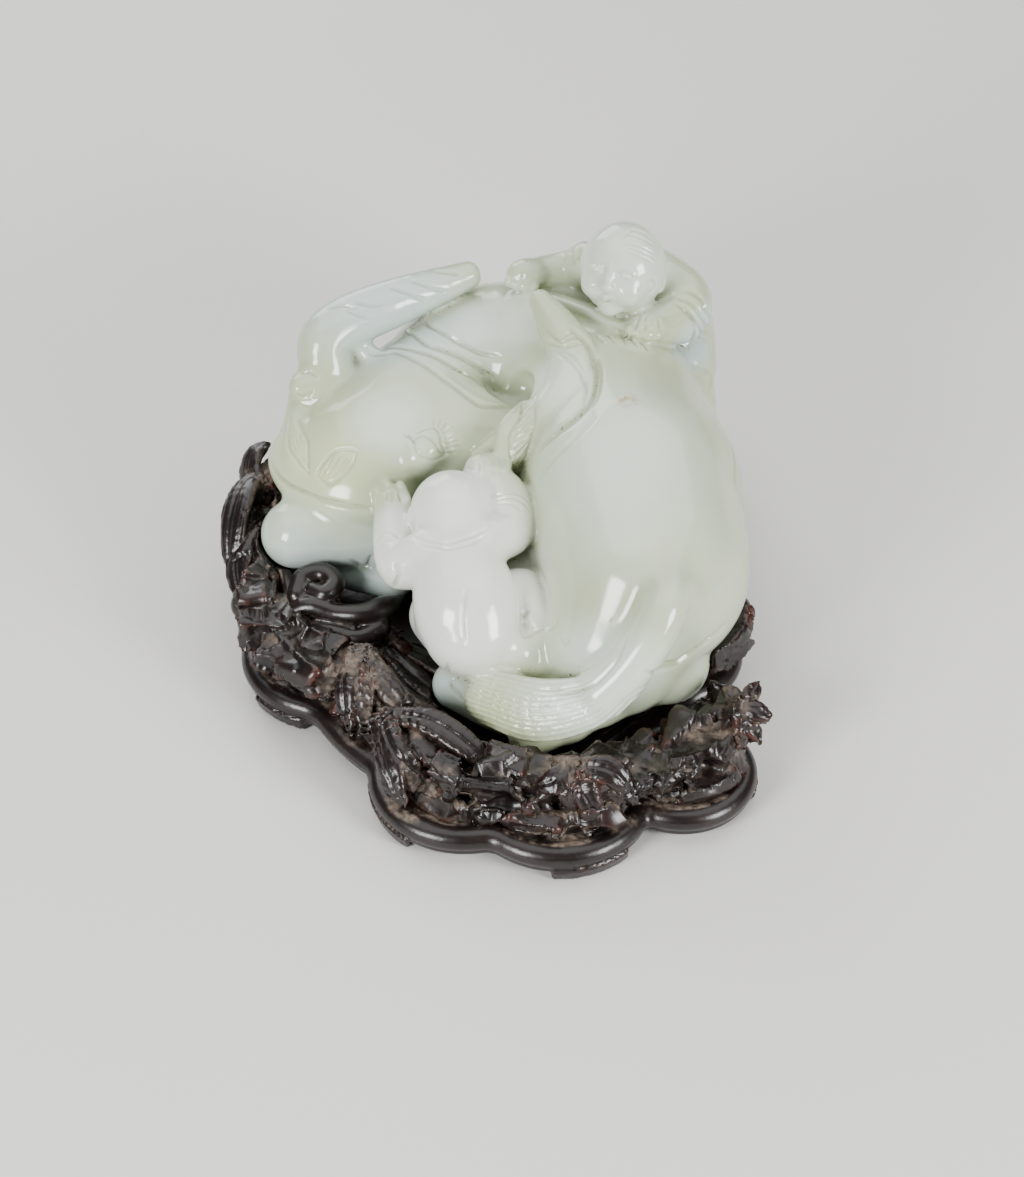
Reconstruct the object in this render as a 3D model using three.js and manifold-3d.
// Recumbent water buffalo with two boys, carved from one block of pale jade, on its carved wood stand.
// Millimetres, +Z up. The origin is on the table, under the middle of the stand. The long side runs along Y.
import * as THREE from 'three';
import { mergeVertices } from 'three/addons/utils/BufferGeometryUtils.js';
import Module from 'manifold-3d';

const wasm = await Module();
wasm.setup();

// Driving sizes of the stone
const groupLength = 171;
const hornThickness = 17;
const tailTuftWidth = 20;
const boyHeadWidth = 25.2;
const headYaw = 238;

// Driving sizes of the stand
const standWidth = 174;
const standLength = 221.6;
const footHeight = 4;
const plateThickness = 7;
const beadWidth = 8.4;
const beadOverhang = 3;
const floorRise = 2.7;
const rimRise = 14;
const ledgeWidth = 10;
const rockSize = 9;
const leafWidth = 9;

// Fit of the stone in the stand
const seatGap = 0.3;
const sideClearance = 1.2;

// Fineness of the faceted solids
const latticeStep = 2.4;
const stoneFacets = 4400;
const standFacets = 4700;

// Places in the group are written for a length of 171, so one unit of them is this long
const unit = groupLength / 171;
const floorHeight = footHeight + plateThickness + floorRise;
const seatHeight = floorHeight + seatGap;

// Smooth union of two distances, rounded over the width k
function blend(a, b, k) {
  if (k <= 0) return Math.min(a, b);
  const h = Math.max(k - Math.abs(a - b), 0) / k;
  return Math.min(a, b) - h * h * k * 0.25;
}

// Axes of a form turned about Z by yaw, then nose up by pitch, then about its own length by roll, in degrees
function turned({ yaw = 0, pitch = 0, roll = 0 }) {
  const [a, b, c] = [yaw, pitch, roll].map(THREE.MathUtils.degToRad);
  const matrix = new THREE.Matrix4().makeRotationZ(a);
  matrix.multiply(new THREE.Matrix4().makeRotationY(-b));
  matrix.multiply(new THREE.Matrix4().makeRotationX(c));
  const axes = [new THREE.Vector3(), new THREE.Vector3(), new THREE.Vector3()];
  matrix.extractBasis(...axes);
  return axes.map((axis) => axis.toArray());
}

// Ellipsoid with half sizes along its own axes
function ball(centre, half, turn = {}, scale = unit) {
  const c = centre.map((v) => v * scale);
  const r = half.map((v) => v * scale);
  const axes = turned(turn);
  const reach = [0, 1, 2].map((i) => Math.hypot(...axes.map((axis, n) => axis[i] * r[n])));
  return {
    low: c.map((v, i) => v - reach[i]),
    high: c.map((v, i) => v + reach[i]),
    distance(x, y, z) {
      const px = x - c[0];
      const py = y - c[1];
      const pz = z - c[2];
      let near = 0;
      let slope = 0;
      for (let n = 0; n < 3; n++) {
        const axis = axes[n];
        const share = (px * axis[0] + py * axis[1] + pz * axis[2]) / r[n];
        near += share * share;
        slope += (share * share) / (r[n] * r[n]);
      }
      near = Math.sqrt(near);
      return (near * (near - 1)) / (Math.sqrt(slope) + 1e-9);
    },
  };
}

// Block with rounded edges
function block(centre, half, soft, turn = {}) {
  const axes = turned(turn);
  const reach = [0, 1, 2].map((i) => axes.reduce((sum, axis, n) => sum + Math.abs(axis[i]) * half[n], 0));
  return {
    low: centre.map((v, i) => v - reach[i]),
    high: centre.map((v, i) => v + reach[i]),
    distance(x, y, z) {
      const px = x - centre[0];
      const py = y - centre[1];
      const pz = z - centre[2];
      let outside = 0;
      let deepest = -Infinity;
      for (let n = 0; n < 3; n++) {
        const axis = axes[n];
        const q = Math.abs(px * axis[0] + py * axis[1] + pz * axis[2]) - (half[n] - soft);
        if (q > 0) outside += q * q;
        if (q > deepest) deepest = q;
      }
      return Math.sqrt(outside) + Math.min(deepest, 0) - soft;
    },
  };
}

// Smooth curve through rows of numbers, with a few steps between each pair
function smoothPath(rows, steps = 5) {
  if (rows.length < 3) return rows;
  const last = rows.length - 1;
  const before = rows[0].map((v, i) => 2 * v - rows[1][i]);
  const after = rows[last].map((v, i) => 2 * v - rows[last - 1][i]);
  const padded = [before, ...rows, after];
  const path = [];
  for (let n = 1; n <= last; n++) {
    for (let s = 0; s < steps; s++) {
      const t = s / steps;
      path.push(rows[0].map((_, i) => {
        const [a, b, c, d] = [padded[n - 1][i], padded[n][i], padded[n + 1][i], padded[n + 2][i]];
        const bend = (2 * a - 5 * b + 4 * c - d) * t * t + (3 * b - a - 3 * c + d) * t * t * t;
        return 0.5 * (2 * b + (c - a) * t + bend);
      }));
    }
  }
  path.push(rows[last]);
  return path;
}

// Round limb along rows of x, y, z and radius, thinned along the direction "across" to the share "flat"
function limb(rows, { flat = 1, across = [0, 0, 1] } = {}, scale = unit) {
  const path = smoothPath(rows.map((row) => row.map((v) => v * scale)));
  const thin = new THREE.Vector3(...across).normalize().toArray();
  const squeeze = 1 / (flat * flat) - 1;
  return {
    low: [0, 1, 2].map((i) => Math.min(...path.map((row) => row[i] - row[3]))),
    high: [0, 1, 2].map((i) => Math.max(...path.map((row) => row[i] + row[3]))),
    distance(x, y, z) {
      let best = Infinity;
      for (let n = 0; n + 1 < path.length; n++) {
        const a = path[n];
        const b = path[n + 1];
        const ux = b[0] - a[0];
        const uy = b[1] - a[1];
        const uz = b[2] - a[2];
        const px = x - a[0];
        const py = y - a[1];
        const pz = z - a[2];
        const share = (px * ux + py * uy + pz * uz) / (ux * ux + uy * uy + uz * uz + 1e-9);
        const t = Math.min(Math.max(share, 0), 1);
        const qx = px - t * ux;
        const qy = py - t * uy;
        const qz = pz - t * uz;
        const side = qx * thin[0] + qy * thin[1] + qz * thin[2];
        const away = Math.sqrt(qx * qx + qy * qy + qz * qz + side * side * squeeze);
        best = Math.min(best, away - (a[3] + t * (b[3] - a[3])));
      }
      return best * flat;
    },
  };
}

// Distance to a surface, held on a lattice of points: negative inside, positive outside
class Mass {
  constructor(low, high) {
    this.low = low;
    this.size = low.map((v, i) => Math.ceil((high[i] - v) / latticeStep) + 1);
    this.values = new Float32Array(this.size[0] * this.size[1] * this.size[2]).fill(1e3);
  }

  blank() {
    return new Mass(this.low, this.low.map((v, i) => v + (this.size[i] - 1) * latticeStep));
  }

  // Runs change(value, x, y, z) on the points of a box, and keeps what it returns
  reshape(low, high, change) {
    const [from, to] = [[], []];
    for (let i = 0; i < 3; i++) {
      from.push(Math.max(Math.floor((low[i] - this.low[i]) / latticeStep), 0));
      to.push(Math.min(Math.ceil((high[i] - this.low[i]) / latticeStep), this.size[i] - 1));
    }
    for (let k = from[2]; k <= to[2]; k++) {
      const z = this.low[2] + k * latticeStep;
      for (let j = from[1]; j <= to[1]; j++) {
        const y = this.low[1] + j * latticeStep;
        let at = (k * this.size[1] + j) * this.size[0] + from[0];
        for (let i = from[0]; i <= to[0]; i++) {
          this.values[at] = change(this.values[at], this.low[0] + i * latticeStep, y, z);
          at++;
        }
      }
    }
  }

  everywhere(change) {
    this.reshape(this.low, this.low.map((v, i) => v + this.size[i] * latticeStep), change);
  }

  add(shape, width = 0) {
    const margin = Math.max(width, 2.5 * latticeStep);
    const low = shape.low.map((v) => v - margin);
    const high = shape.high.map((v) => v + margin);
    this.reshape(low, high, (value, x, y, z) => blend(value, shape.distance(x, y, z), width));
  }

  join(other, width = 0) {
    this.values = this.values.map((value, n) => blend(value, other.values[n], width));
  }

  // Distance at any place, worked out from the eight lattice points around it
  at(x, y, z) {
    const [nx, ny, nz] = this.size;
    const u = (x - this.low[0]) / latticeStep;
    const v = (y - this.low[1]) / latticeStep;
    const w = (z - this.low[2]) / latticeStep;
    if (u < 0 || v < 0 || w < 0 || u >= nx - 1 || v >= ny - 1 || w >= nz - 1) return 1e3;
    const start = (Math.floor(w) * ny + Math.floor(v)) * nx + Math.floor(u);
    const [su, sv, sw] = [u % 1, v % 1, w % 1];
    const along = (n) => this.values[n] * (1 - su) + this.values[n + 1] * su;
    const across = (n) => along(n) * (1 - sv) + along(n + nx) * sv;
    return across(start) * (1 - sw) + across(start + nx * ny) * sw;
  }
}

// Closed skin of a mass: six tetrahedra fill each lattice cube, and the surface crosses their edges
function skin(mass) {
  const [nx, ny, nz] = mass.size;
  const offset = [0, 1, 2, 3, 4, 5, 6, 7].map((c) => ((c >> 2) * ny + ((c >> 1) & 1)) * nx + (c & 1));
  const tetrahedra = [[0, 1, 3, 7], [0, 5, 1, 7], [0, 3, 2, 7], [0, 2, 6, 7], [0, 4, 5, 7], [0, 6, 4, 7]];
  const places = [];
  const faces = [];
  const known = new Map();
  const crossing = (cell, origin, a, b) => {
    const [from, to] = a < b ? [a, b] : [b, a];
    const start = origin + offset[from];
    const key = start * 8 + (from ^ to);
    if (known.has(key)) return known.get(key);
    const d0 = mass.values[start];
    const d1 = mass.values[origin + offset[to]];
    const t = Math.min(Math.max(d0 / (d0 - d1), 0.04), 0.96);
    const point = [0, 1, 2].map((i) => {
      const p0 = cell[i] + ((from >> i) & 1);
      const p1 = cell[i] + ((to >> i) & 1);
      return mass.low[i] + latticeStep * (p0 + t * (p1 - p0));
    });
    places.push(point);
    known.set(key, places.length - 1);
    return places.length - 1;
  };
  for (let k = 0; k + 1 < nz; k++) {
    for (let j = 0; j + 1 < ny; j++) {
      for (let i = 0; i + 1 < nx; i++) {
        const origin = (k * ny + j) * nx + i;
        let count = 0;
        for (let corner = 0; corner < 8; corner++) if (mass.values[origin + offset[corner]] < 0) count++;
        if (count === 0 || count === 8) continue;
        const isInside = (corner) => mass.values[origin + offset[corner]] < 0;
        for (const corners of tetrahedra) {
          const within = corners.filter(isInside);
          if (within.length === 0 || within.length === 4) continue;
          const beyond = corners.filter((corner) => !isInside(corner));
          const order = [...within, ...beyond].map((corner) => corners.indexOf(corner));
          let swaps = 0;
          for (let a = 0; a < 4; a++) for (let b = a + 1; b < 4; b++) if (order[a] > order[b]) swaps++;
          const cut = (a, b) => crossing([i, j, k], origin, a, b);
          let ring;
          if (within.length === 1) ring = beyond.map((corner) => cut(within[0], corner));
          if (within.length === 3) ring = within.map((corner) => cut(corner, beyond[0]));
          if (within.length === 2) {
            const [[a, b], [c, d]] = [within, beyond];
            ring = [cut(a, c), cut(a, d), cut(b, d), cut(b, c)];
          }
          if (swaps % 2 === 1) ring.reverse();
          for (let n = 1; n + 1 < ring.length; n++) faces.push([ring[0], ring[n], ring[n + 1]]);
        }
      }
    }
  }
  return { places, faces };
}

// Keeps the largest connected skin, so that no crumb or closed bubble is left
function largest({ places, faces }) {
  const parent = places.map((_, n) => n);
  const root = (n) => {
    while (parent[n] !== n) {
      parent[n] = parent[parent[n]];
      n = parent[n];
    }
    return n;
  };
  for (const [a, b, c] of faces) {
    parent[root(a)] = root(b);
    parent[root(b)] = root(c);
  }
  const count = new Map();
  for (const [a] of faces) count.set(root(a), (count.get(root(a)) ?? 0) + 1);
  const best = [...count].sort((p, q) => q[1] - p[1])[0][0];
  const kept = faces.filter(([a]) => root(a) === best);
  const renumbered = new Map();
  const chosen = [];
  const number = (n) => {
    if (!renumbered.has(n)) {
      renumbered.set(n, chosen.length);
      chosen.push(places[n]);
    }
    return renumbered.get(n);
  };
  return { places: chosen, faces: kept.map((face) => face.map(number)) };
}

// Squared distance to the planes around a point, as the ten numbers of a symmetric 4 x 4 matrix
function planeSum(a, b, c, d) {
  return [a * a, a * b, a * c, a * d, b * b, b * c, b * d, c * c, c * d, d * d];
}

function planeError(q, [x, y, z]) {
  return q[0] * x * x + 2 * q[1] * x * y + 2 * q[2] * x * z + 2 * q[3] * x + q[4] * y * y
    + 2 * q[5] * y * z + 2 * q[6] * y + q[7] * z * z + 2 * q[8] * z + q[9];
}

// Point with the least error, or none where the planes are nearly parallel
function bestPoint(q) {
  const [a, b, c, d, e, f, g, h, i] = q;
  const det = a * (e * h - f * f) - b * (b * h - f * c) + c * (b * f - e * c);
  if (Math.abs(det) < 1e-4) return null;
  const x = -(d * (e * h - f * f) - b * (g * h - f * i) + c * (g * f - e * i)) / det;
  const y = -(a * (g * h - i * f) - d * (b * h - f * c) + c * (b * i - g * c)) / det;
  const z = -(a * (e * i - g * f) - b * (b * i - g * c) + d * (b * f - e * c)) / det;
  return [x, y, z];
}

function crossOf(p, q, r) {
  const [ux, uy, uz] = [q[0] - p[0], q[1] - p[1], q[2] - p[2]];
  const [vx, vy, vz] = [r[0] - p[0], r[1] - p[1], r[2] - p[2]];
  return [uy * vz - uz * vy, uz * vx - ux * vz, ux * vy - uy * vx];
}

// Waiting list that always gives the entry with the least cost
class Queue {
  constructor() {
    this.items = [];
  }

  push(item) {
    const { items } = this;
    let n = items.length;
    items.push(item);
    while (n > 0) {
      const up = (n - 1) >> 1;
      if (items[up].cost <= items[n].cost) break;
      [items[up], items[n]] = [items[n], items[up]];
      n = up;
    }
  }

  pop() {
    const { items } = this;
    const top = items[0];
    const last = items.pop();
    if (items.length === 0) return top;
    items[0] = last;
    let n = 0;
    for (;;) {
      const left = 2 * n + 1;
      if (left >= items.length) break;
      const right = left + 1;
      const least = right < items.length && items[right].cost < items[left].cost ? right : left;
      if (items[n].cost <= items[least].cost) break;
      [items[n], items[least]] = [items[least], items[n]];
      n = least;
    }
    return top;
  }
}

// Fewer, larger facets: joins the ends of the edge that moves the surface least, until "wanted" are left
function facet({ places, faces }, wanted) {
  const around = places.map(() => new Set());
  faces.forEach((face, n) => face.forEach((v) => around[v].add(n)));
  const error = places.map(() => new Array(10).fill(0));
  for (const face of faces) {
    const [p, q, r] = face.map((v) => places[v]);
    const normal = crossOf(p, q, r);
    const area = Math.hypot(...normal) + 1e-12;
    const [a, b, c] = normal.map((v) => v / area);
    const sum = planeSum(a, b, c, -(a * p[0] + b * p[1] + c * p[2]));
    for (const v of face) for (let i = 0; i < 10; i++) error[v][i] += sum[i] * area;
  }
  const stamp = places.map(() => 0);
  const queue = new Queue();
  const offer = (a, b) => {
    const q = error[a].map((v, i) => v + error[b][i]);
    const [p, r] = [places[a], places[b]];
    const middle = [(p[0] + r[0]) / 2, (p[1] + r[1]) / 2, (p[2] + r[2]) / 2];
    const reach = Math.hypot(p[0] - r[0], p[1] - r[1], p[2] - r[2]);
    let point = bestPoint(q);
    const moved = point && Math.hypot(point[0] - middle[0], point[1] - middle[1], point[2] - middle[2]);
    if (!point || moved > 2 * reach) {
      point = [p, r, middle].reduce((best, other) => (planeError(q, other) < planeError(q, best) ? other : best));
    }
    const cost = Math.max(planeError(q, point), 0) + 1e-7 * reach;
    queue.push({ cost, a, b, point, stampA: stamp[a], stampB: stamp[b] });
  };
  const neighbours = (v) => {
    const found = new Set();
    for (const n of around[v]) for (const w of faces[n]) if (w !== v) found.add(w);
    return found;
  };
  for (const face of faces) {
    for (let i = 0; i < 3; i++) if (face[i] < face[(i + 1) % 3]) offer(face[i], face[(i + 1) % 3]);
  }
  const alive = faces.map(() => true);
  let left = faces.length;
  const keepsItsSide = (v, other, point) => {
    for (const n of around[v]) {
      if (faces[n].includes(other)) continue;
      const before = crossOf(...faces[n].map((w) => places[w]));
      const after = crossOf(...faces[n].map((w) => (w === v ? point : places[w])));
      const dot = before[0] * after[0] + before[1] * after[1] + before[2] * after[2];
      if (dot < 0.3 * Math.hypot(...before) * Math.hypot(...after) + 1e-9) return false;
    }
    return true;
  };
  while (left > wanted && queue.items.length > 0) {
    const { a, b, point, stampA, stampB } = queue.pop();
    if (stampA !== stamp[a] || stampB !== stamp[b]) continue;
    const nearB = neighbours(b);
    const shared = [...neighbours(a)].filter((v) => nearB.has(v));
    if (shared.length !== 2) continue;
    if (!keepsItsSide(a, b, point) || !keepsItsSide(b, a, point)) continue;
    for (const n of [...around[b]]) {
      if (faces[n].includes(a)) {
        faces[n].forEach((v) => around[v].delete(n));
        alive[n] = false;
        left--;
      } else {
        faces[n][faces[n].indexOf(b)] = a;
        around[a].add(n);
      }
    }
    around[b].clear();
    places[a] = point;
    error[a] = error[a].map((v, i) => v + error[b][i]);
    stamp[b] = -1;
    stamp[a]++;
    for (const v of neighbours(a)) offer(a, v);
  }
  return { places, faces: faces.filter((_, n) => alive[n]) };
}

// Closed solid of a geometry whose corners are merged
function solid(geometry) {
  const bare = geometry.clone();
  bare.deleteAttribute('normal');
  bare.deleteAttribute('uv');
  const merged = mergeVertices(bare);
  const vertProperties = new Float32Array(merged.attributes.position.array);
  const triVerts = new Uint32Array(merged.index.array);
  return new wasm.Manifold(new wasm.Mesh({ numProp: 3, vertProperties, triVerts }));
}

function geometryOf(solidPart) {
  const { vertProperties, triVerts } = solidPart.getMesh();
  const geometry = new THREE.BufferGeometry();
  geometry.setAttribute('position', new THREE.BufferAttribute(new Float32Array(vertProperties), 3));
  geometry.setIndex(new THREE.BufferAttribute(new Uint32Array(triVerts), 1));
  geometry.computeVertexNormals();
  return geometry;
}

// Keeps what lies inside a box, from the table up, that the piece is carved from
function carvedFrom(part, width, length, height) {
  const box = new THREE.BoxGeometry(width, length, height);
  box.translate(0, 0, height / 2);
  return part.intersect(solid(box));
}

function facetedSolid(mass, wanted) {
  const { places, faces } = facet(largest(skin(mass)), wanted);
  const used = [...new Set(faces.flat())];
  const number = new Map(used.map((v, n) => [v, n]));
  const vertProperties = new Float32Array(used.flatMap((v) => places[v]));
  const triVerts = new Uint32Array(faces.flatMap((face) => face.map((v) => number.get(v))));
  return new wasm.Manifold(new wasm.Mesh({ numProp: 3, vertProperties, triVerts }));
}

// The stone. Its Z starts at the flat that it rests on.

function buffaloBody(stone) {
  stone.add(ball([40, 6, 33], [36, 46, 37], { yaw: 6 }));
  stone.add(ball([45, -27, 34], [31, 33, 30]), 10);
  stone.add(ball([34, 36, 34], [32, 28, 35]), 10);
  const neck = [[34, 46, 40, 27], [14, 62, 40, 26], [-6, 65, 41, 23.5], [-20, 53, 43, 18.5], [-30, 38, 42, 17]];
  stone.add(limb(neck), 8);
  stone.add(limb([[20, 44, 20, 22], [-8, 42, 18, 20], [-28, 28, 16, 16]]), 8);
  stone.add(limb([[10, 0, 18, 18], [2, -24, 16, 16]]), 8);
}

function buffaloHead(stone) {
  const head = stone.blank();
  head.add(ball([-31, 34, 41], [27, 25, 18], { yaw: headYaw, pitch: -14 }));
  head.add(ball([-49, 15, 37], [17, 25, 11.5], { yaw: headYaw, pitch: -22 }), 6);
  head.add(ball([-42, 22, 42], [17, 18, 14], { yaw: headYaw, pitch: -22 }), 8);
  head.add(ball([-8, 25, 44], [19, 14, 13], { yaw: -8 }), 10);
  head.add(ball([-58, 38, 52], [7, 7, 7]), 5);
  head.add(ball([-22, 13, 48], [9, 6, 6], { yaw: headYaw }), 5);
  stone.join(head, 4);
}

function hornsAndEars(stone) {
  const r = hornThickness / 2 / unit;
  const farHorn = [[-53, 43, 52, r * 0.94], [-54.5, 48, 61, r], [-47, 54, 65, r], [-31, 61, 68, r * 0.88],
    [-10, 71, 70, r * 0.53]];
  const nearHorn = [[-2, 8, 46, r * 0.82], [9, 13, 52, r * 0.94], [20, 22, 58, r], [24, 33, 64, r * 0.94],
    [19, 43, 70, r * 0.76], [13, 52, 75, r * 0.41]];
  stone.add(limb(farHorn), 3);
  stone.add(limb(nearHorn), 2);
  stone.add(limb([[8, 20, 58, 2.5], [5, 10, 57, 5.5], [1, 1, 52, 3]], { flat: 0.5, across: [0.4, -0.4, 0.8] }), 2);
  stone.add(limb([[-48, 50, 58, 2], [-42, 49, 57, 3.5], [-36, 44, 55, 2]]), 2);
}

function legs(stone) {
  stone.add(limb([[-14, 12, 20, 13], [-38, 4, 22, 11], [-63, 2.5, 22, 10.8]]), 4);
  stone.add(limb([[-58, 6, 12, 8], [-46, 0, 10, 7], [-33, -4, 9, 6.5]]), 2);
  stone.add(ball([32, -46, 22], [26, 22, 23]), 5);
  stone.add(limb([[22, -62, 9, 9], [4, -60, 7, 8], [-12, -48, 6, 8]]), 3);
  stone.add(limb([[20, -66, 7, 6], [9, -70, 5, 6]]), 3);
  stone.add(ball([51, -45, 12], [13, 13, 12]), 3);
  stone.add(limb([[-10, 50, 12, 12], [-40, 52, 10, 10], [-48, 44, 8, 9]]), 4);
}

function tail(stone) {
  const tuft = tailTuftWidth / 2 / unit;
  stone.add(limb([[57, -42, 56, 5], [53, -54, 52, 6.5], [47, -63, 43, 7], [39, -69, 34, 7], [31, -72, 26, 7]]), 4);
  const fan = [[36, -71, 30, tuft * 0.65], [26, -73, 23, tuft * 0.85], [12, -70, 17, tuft], [-1, -63, 15, tuft * 0.9]];
  stone.add(limb(fan, { flat: 0.62, across: [-0.2, -0.75, 0.65] }), 2);
}

// The boy in front leans on the flank with his back turned, and reaches for the muzzle and the ear
function frontBoy(stone) {
  const boy = stone.blank();
  const head = boyHeadWidth / 2 / unit;
  boy.add(ball([-14, -14, 46], [head, head, head]));
  const back = [[-14, -26, 43, 9], [-12, -32, 39, 13], [-9.5, -41, 33, 16], [-8, -47, 28, 14.5]];
  boy.add(limb(back, { flat: 0.85, across: [0, -0.7, 0.7] }), 4);
  boy.add(limb([[-22, -28, 41, 7.5], [-29, -27, 36, 7.5], [-31, -17, 37, 7], [-32, -5, 40, 6]]), 3);
  boy.add(limb([[-4, -25, 44, 7.5], [4, -19, 43, 7], [3, -9, 47, 6.5], [-5, -1, 51, 5.5]]), 3);
  boy.add(limb([[0, -38, 28, 9], [7, -34, 31, 7.5], [11, -41, 28, 6.5], [13, -48, 24, 5], [17, -52, 22, 4]]), 3);
  boy.add(limb([[-15, -40, 24, 10], [-17, -32, 20, 10], [-10, -30, 16, 12]]), 3);
  stone.join(boy, 2);
}

// The boy at the back lies over the shoulder, with both hands on the rope
function backBoy(stone) {
  const boy = stone.blank();
  const head = boyHeadWidth / 2 / unit;
  boy.add(ball([38.6, 57, 84], [head * 1.06, head * 1.03, head * 1.15]));
  boy.add(limb([[44, 68, 72, 10], [52, 75, 59, 13], [56, 74, 46, 13], [57, 66, 38, 13]]), 4);
  boy.add(limb([[37, 70, 72, 8], [27, 75, 70, 7], [20, 76, 68, 6.5], [8, 72.5, 67, 5.5]]), 3);
  boy.add(limb([[50, 70, 70, 8.5], [57, 64, 68, 9], [57.5, 57, 66, 9], [52, 50, 68, 7], [46.5, 45, 70, 5.5]]), 3);
  boy.add(limb([[56, 68, 50, 11], [58, 58, 46, 9.5], [62, 50, 36, 7], [64, 44, 27, 5.5]]), 3);
  boy.add(limb([[50, 76, 44, 10], [42, 83, 34, 8], [34, 83, 22, 6.5], [28, 84, 16, 5]]), 3);
  stone.join(boy, 2);
}

const stone = new Mass([-84, -94, -8].map((v) => v * unit), [90, 108, 108].map((v) => v * unit));
buffaloBody(stone);
buffaloHead(stone);
hornsAndEars(stone);
legs(stone);
tail(stone);
frontBoy(stone);
backBoy(stone);
const stoneSolid = carvedFrom(facetedSolid(stone, stoneFacets), 2 * groupLength, 2 * groupLength, groupLength);

// The stand

// Round lobes of the plate: x, y and radius
const lobes = [[-52, -22, 28], [-10, -75, 29], [18, -82, 29], [55, -73, 23], [53, -22, 23], [50, 30, 24],
  [34, 78, 28], [-14, 84, 27], [-42, 56, 27], [-54, 16, 26]].map((row) => row.map((v) => v * unit));

// Crest of the rock rim around the stone: x, y and the share of the rim's rise that it stands
const crest = [[19, -89, 1], [-2, -87, 1.14], [-20, -79, 1], [-32, -62, 0.93], [-48, -44, 0.93], [-64, -33, 1.14],
  [-77, -14, 1.36], [-79, 8, 1.64], [-74, 30, 1.93], [-60, 50, 1.36], [-44, 72, 1.07], [-14, 94, 0.93],
  [22, 98, 0.93], [50, 84, 0.93], [62, 58, 0.86], [68, 26, 0.93], [71, -8, 1], [75, -38, 1.21], [71, -62, 1.14],
  [55, -78, 1], [38, -86, 0.93]];

// Low rocks inside the rim: x, y, share of the rise and half width
const innerRocks = [[-50, -24, 1.14, 9], [-36, -28, 1, 8], [-60, -20, 1.07, 9], [-24, -52, 0.64, 8],
  [-42, -40, 0.8, 9], [-66, -4, 0.93, 8], [62, -62, 0.64, 9]];

// Strap leaves: rows of x, y, z and the share of the leaf width, then the way that the blade faces
const leaves = [
  { rows: [[-72, 22, 34, 0.3], [-78, 26.5, 37, 0.9], [-78, 33.5, 40, 0.9], [-73, 39, 42, 0.3]], faces: [-7, -3, 6] },
  { rows: [[-71.5, 23, 33, 0.3], [-78.5, 22, 38, 1], [-82, 12.5, 37, 1.2], [-83, 5, 31, 1], [-83, 1, 26, 0.3]],
    faces: [-6, -3, 8] },
  { rows: [[-72, 16, 32, 0.3], [-79, 5, 31, 1], [-81, -4, 26, 1], [-79, -14, 22, 0.3]], faces: [-6, -2, 8] },
  { rows: [[-43, -40.5, 28, 0.4], [-46, -54.5, 24, 0.8], [-44.5, -63.5, 15, 0.3]], faces: [-5, -8, 5] },
  { rows: [[-42, -40.5, 28, 0.4], [-41.5, -54.5, 24, 0.8], [-39, -65.5, 16, 0.3]], faces: [-2, -9, 5] },
  { rows: [[-40, -41, 28, 0.4], [-32.5, -55.5, 25, 0.8], [-28, -60, 22, 0.3]], faces: [1, -7, 7] },
  { rows: [[-34, -67.5, 27, 0.4], [-20, -74, 30, 0.9], [-8, -82, 27, 0.8], [-6, -83, 22, 0.3]], faces: [1, -5, 9] },
  { rows: [[-34.5, -70, 27, 0.4], [-29.5, -83, 25, 0.9], [-20, -88, 17, 0.3]], faces: [-2, -6, 8] },
  { rows: [[-35.5, -70, 26, 0.4], [-32, -86, 22, 0.9], [-27.5, -93.5, 14, 0.3]], faces: [-6, -5, 6] },
  { rows: [[21, -87.5, 27, 0.4], [17, -95, 27, 0.8], [10.5, -93.5, 22, 0.3]], faces: [-2, -6, 8] },
  { rows: [[20.5, -91, 26, 0.4], [21, -97, 23, 0.7], [22, -99.5, 15, 0.3]], faces: [1, -9, 3] },
  { rows: [[22.5, -91, 26, 0.4], [26.5, -99, 23, 0.8], [29.5, -101, 15, 0.3]], faces: [1, -9, 3] },
  { rows: [[22, -89, 27, 0.4], [33.5, -93.5, 29, 0.9], [41, -95.5, 17, 0.3]], faces: [1, -6, 8] },
  { rows: [[30, 96, 26, 0.4], [20, 101, 24, 0.9], [13, 102, 16, 0.3]], faces: [-2, 8, 5] },
  { rows: [[30, 96, 26, 0.4], [38, 101, 23, 0.9], [43, 100, 15, 0.3]], faces: [3, 8, 5] },
  { rows: [[-56, 60, 28, 0.4], [-64, 57, 26, 0.9], [-69, 53, 18, 0.3]], faces: [-7, 4, 6] },
  { rows: [[-56, 60, 28, 0.4], [-59, 69, 25, 0.9], [-58, 76, 17, 0.3]], faces: [-6, 6, 6] },
];

// Small flower of leaves on the right: its middle and the tips
const flower = { middle: [73, -67, 28], tips: [[68, -60, 30], [78, -59, 31], [81, -70, 28], [78, -74, 21],
  [72, -76, 20], [68, -70, 23]] };

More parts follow.
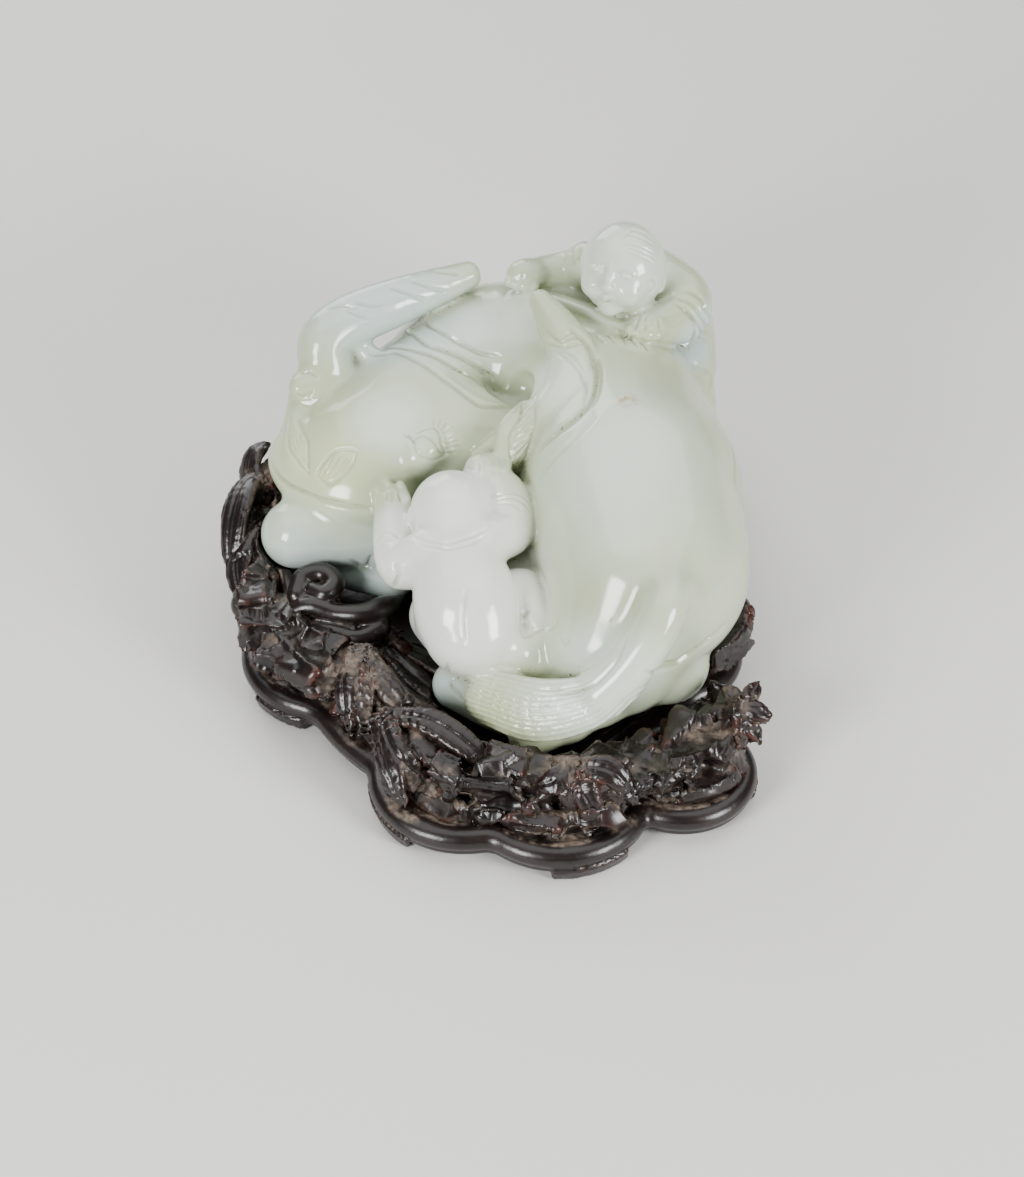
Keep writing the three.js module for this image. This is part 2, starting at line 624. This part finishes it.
// Stems, twigs and the curled cap of the fungus: rows of x, y, z and radius
const twigs = [
  [[-74, 6, 28, 2], [-72, -3, 27, 2.4], [-74, -14, 23, 3], [-79, -18, 24, 3.6]],
  [[-68, 0, 28, 2], [-65, -11, 27, 2.4], [-63, -20, 24, 3]],
  [[-79, -17, 25, 3.6], [-73, -21, 24, 3.8], [-68, -26, 22, 3.4]],
  [[-66, -23, 25, 2.6], [-58, -23, 29, 3.4], [-50, -25, 28, 3.2], [-42, -26, 28.5, 3.4], [-35, -23, 28, 4],
    [-31, -18, 26, 2.6]],
  [[-62, -26, 23, 2.8], [-52, -29, 24, 3], [-43, -31.5, 24, 2.8], [-36, -28, 25, 3.2]],
  [[-62, -19, 30, 3.2], [-60, -13.5, 32, 3.4], [-54, -12.5, 33, 3.4], [-50.5, -16.5, 32.5, 3.4], [-53, -20.5, 32, 3],
    [-57, -18.5, 32, 2.4]],
];

// Knob of a young fungus: middle and half sizes
const knob = { centre: [-56, -33, 20], half: [5, 4, 3.2] };

// Flat flakes of rock on the plate: middle, half sizes and turn
const flakes = [
  { centre: [-60, -38, 14], half: [13, 8, 2.4], yaw: -12 },
  { centre: [17, -101, 14.5], half: [23, 7.5, 2.6], yaw: 0 },
  { centre: [60, -87, 15], half: [13, 7, 2.6], yaw: 38 },
  { centre: [-72, 20, 15], half: [8, 14, 2.6], yaw: 8 },
];

// Fixed scatter between 0 and 1, so that the rocks are uneven and always the same
function scatter(n) {
  const v = Math.sin(n * 12.9898 + 4.1) * 43758.5453;
  return v - Math.floor(v);
}

// Distance in plan to the plate's outline
function plateOutline(x, y) {
  const centreX = x / (68 * unit);
  const centreY = (y + 4 * unit) / (84 * unit);
  let d = (Math.hypot(centreX, centreY) - 1) * 64 * unit;
  for (const [cx, cy, r] of lobes) d = blend(d, Math.hypot(x - cx, y - cy) - r, 3);
  return d;
}

function plate(wood) {
  const bead = beadWidth / 2;
  const beadHeight = footHeight + plateThickness / 2;
  const top = footHeight + plateThickness;
  wood.everywhere((_, x, y, z) => {
    const d = plateOutline(x, y);
    const rounded = Math.hypot(d + bead, z - beadHeight) - bead;
    const slab = Math.max(d + beadOverhang, z - top, footHeight - z);
    const floor = Math.max(d + ledgeWidth, z - floorHeight, footHeight - z);
    const turnAround = Math.atan2(y, x);
    const gapsBetween = 6 * (0.45 - Math.cos(turnAround * lobes.length + 0.6));
    const feet = Math.max(d + beadOverhang, z - footHeight - 1, -2 - z, gapsBetween, -(d + 16));
    return Math.min(rounded, slab, floor, feet);
  });
}

function rockRim(wood) {
  const rocks = wood.blank();
  const base = footHeight + plateThickness;
  const path = smoothPath([...crest, crest[0]].map(([x, y, rise]) => [x * unit, y * unit, base + rise * rimRise]), 2);
  path.slice(0, -1).forEach(([x, y, top], n) => {
    const [a, b, c] = [scatter(n), scatter(n + 50), scatter(n + 99)];
    const half = [rockSize * (0.8 + 0.4 * a), rockSize * (0.62 + 0.3 * b), rockSize * (0.75 + 0.5 * c)];
    const centre = [x + 3 * (b - 0.5), y + 3 * (c - 0.5), top - half[2] + 2 * (a - 0.5)];
    rocks.add(block(centre, half, 1.5, { yaw: 360 * b, pitch: 24 * (c - 0.5), roll: 24 * (a - 0.5) }), 1);
    const footing = [rockSize * (0.88 + 0.25 * b), rockSize * (0.62 + 0.25 * c), 6];
    rocks.add(block([x * 0.98, y * 0.98, base + 2], footing, 1.5, { yaw: 360 * a }), 1);
  });
  innerRocks.forEach(([x, y, rise, wide], n) => {
    const [b, c, a] = [scatter(n + 57), scatter(n + 97), scatter(n + 7)];
    const tall = (rise * rimRise) / 2 + 1;
    const half = [wide * 0.9, wide * 0.65, tall];
    const turn = { yaw: 360 * b, pitch: 20 * (c - 0.5), roll: 20 * (a - 0.5) };
    rocks.add(block([x * unit, y * unit, base + tall - 2], half, 1.5, turn), 1);
  });
  wood.join(rocks, 1);
}

function plants(wood) {
  const bladeOf = (rows) => rows.map(([x, y, z, share]) => [x, y, z, (share * leafWidth) / 2 / unit]);
  for (const { rows, faces } of leaves) wood.add(limb(bladeOf(rows), { flat: 0.5, across: faces }), 0.8);
  const [mx, my, mz] = flower.middle;
  for (const [x, y, z] of flower.tips) {
    const rows = [[mx, my, mz, 0.4], [(mx + x) / 2, (my + y) / 2, (mz + z) / 2 + 1, 0.65], [x, y, z, 0.3]];
    wood.add(limb(bladeOf(rows), { flat: 0.6, across: [6, -5, 6] }), 0.8);
  }
  for (const rows of twigs) wood.add(limb(rows), 1);
  wood.add(ball(knob.centre, knob.half), 1);
}

// The flakes stop at the inner side of the bead
function rockFlakes(wood) {
  const inset = beadWidth - beadOverhang;
  for (const { centre, half, yaw } of flakes) {
    const whole = block(centre.map((v) => v * unit), half.map((v) => v * unit), 1, { yaw });
    wood.add({ ...whole, distance: (x, y, z) => Math.max(whole.distance(x, y, z), plateOutline(x, y) + inset) }, 1);
  }
}

// Room for the stone: its form and the clearance around it, open upwards so that it lifts out
function roomForStone(wood) {
  const [nx, ny] = wood.size;
  const nearest = new Float32Array(nx * ny).fill(1e3);
  wood.everywhere((value, x, y, z) => {
    const column = Math.round((y - wood.low[1]) / latticeStep) * nx + Math.round((x - wood.low[0]) / latticeStep);
    nearest[column] = Math.min(nearest[column], stone.at(x, y, z - seatHeight));
    const room = Math.max(nearest[column] - sideClearance, floorHeight - z);
    return Math.max(value, -room);
  });
}

// Outline of the stone where it sits, with the clearance, seen from above
function seatOutline() {
  const centre = [14 * unit, 2 * unit];
  const outline = new THREE.Shape();
  const turns = 40;
  for (let n = 0; n < turns; n++) {
    const turn = (n / turns) * 2 * Math.PI;
    let reach = 0;
    for (let away = 0; away < groupLength; away += 0.5) {
      const [x, y] = [centre[0] + away * Math.cos(turn), centre[1] + away * Math.sin(turn)];
      if (Math.min(stone.at(x, y, 0), stone.at(x, y, 1.5)) < sideClearance) reach = away;
    }
    const [x, y] = [centre[0] + reach * Math.cos(turn), centre[1] + reach * Math.sin(turn)];
    if (n === 0) outline.moveTo(x, y);
    else outline.lineTo(x, y);
  }
  outline.closePath();
  return outline;
}

const wood = new Mass([-96, -120, -6].map((v) => v * unit), [96 * unit, 120 * unit, floorHeight + 3 * rimRise]);
plate(wood);
rockRim(wood);
rockFlakes(wood);
plants(wood);
roomForStone(wood);
const seatCut = new THREE.ExtrudeGeometry(seatOutline(), { depth: 3, bevelEnabled: false });
seatCut.translate(0, 0, floorHeight);
const recessed = facetedSolid(wood, standFacets).subtract(solid(seatCut));
const standSolid = carvedFrom(recessed, standWidth, standLength, 2 * groupLength);

const jade = new THREE.MeshStandardMaterial({ color: '#cdd8c6', roughness: 0.18, metalness: 0 });
const darkWood = new THREE.MeshStandardMaterial({ color: '#2b1c15', roughness: 0.35, metalness: 0 });

const stoneMesh = new THREE.Mesh(geometryOf(stoneSolid), jade);
stoneMesh.name = 'jade_buffalo_group';
stoneMesh.position.z = seatHeight;

const standMesh = new THREE.Mesh(geometryOf(standSolid), darkWood);
standMesh.name = 'wood_stand';

const group = new THREE.Group();
group.add(standMesh, stoneMesh);

export default group;
